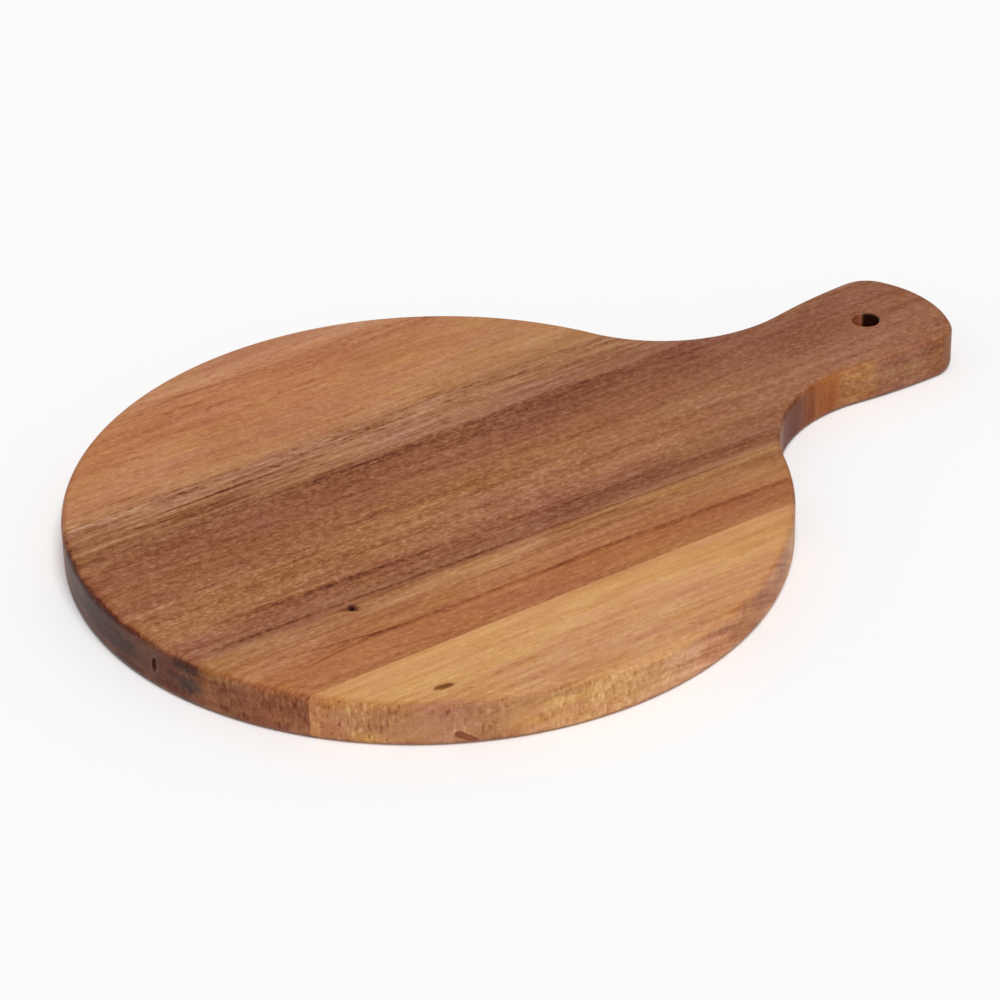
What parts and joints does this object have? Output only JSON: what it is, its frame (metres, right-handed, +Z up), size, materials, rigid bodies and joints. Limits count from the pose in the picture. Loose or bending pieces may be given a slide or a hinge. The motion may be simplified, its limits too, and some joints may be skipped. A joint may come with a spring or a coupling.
{
  "type": "pizza serving board",
  "caption": "Round wooden pizza serving board with a flared handle, edge-glued from wide planks, rounded over along both edges and drilled near the handle's end to hang up.",
  "frame": {"origin": "centre of the disc on the underside, in the plane that the board rests on", "axes": "+X along the handle, +Y towards the back stave, +Z up out of the serving face"},
  "size_m": [0.42, 0.3, 0.02],
  "materials": {
    "tan_plank": "orange-tan acacia, sanded and oiled to a soft satin",
    "brown_plank": "red-brown striped acacia, sanded and oiled to a soft satin",
    "golden_plank": "golden acacia, sanded and oiled to a soft satin",
    "cured_glue": "cured wood glue, sanded flush with the wood"
  },
  "bodies": {
    "root": {"back_stave": "tan_plank", "back_glue_line": "cured_glue", "centre_stave": "brown_plank", "front_glue_line": "cured_glue", "front_stave": "golden_plank"}
  },
  "joints": []
}
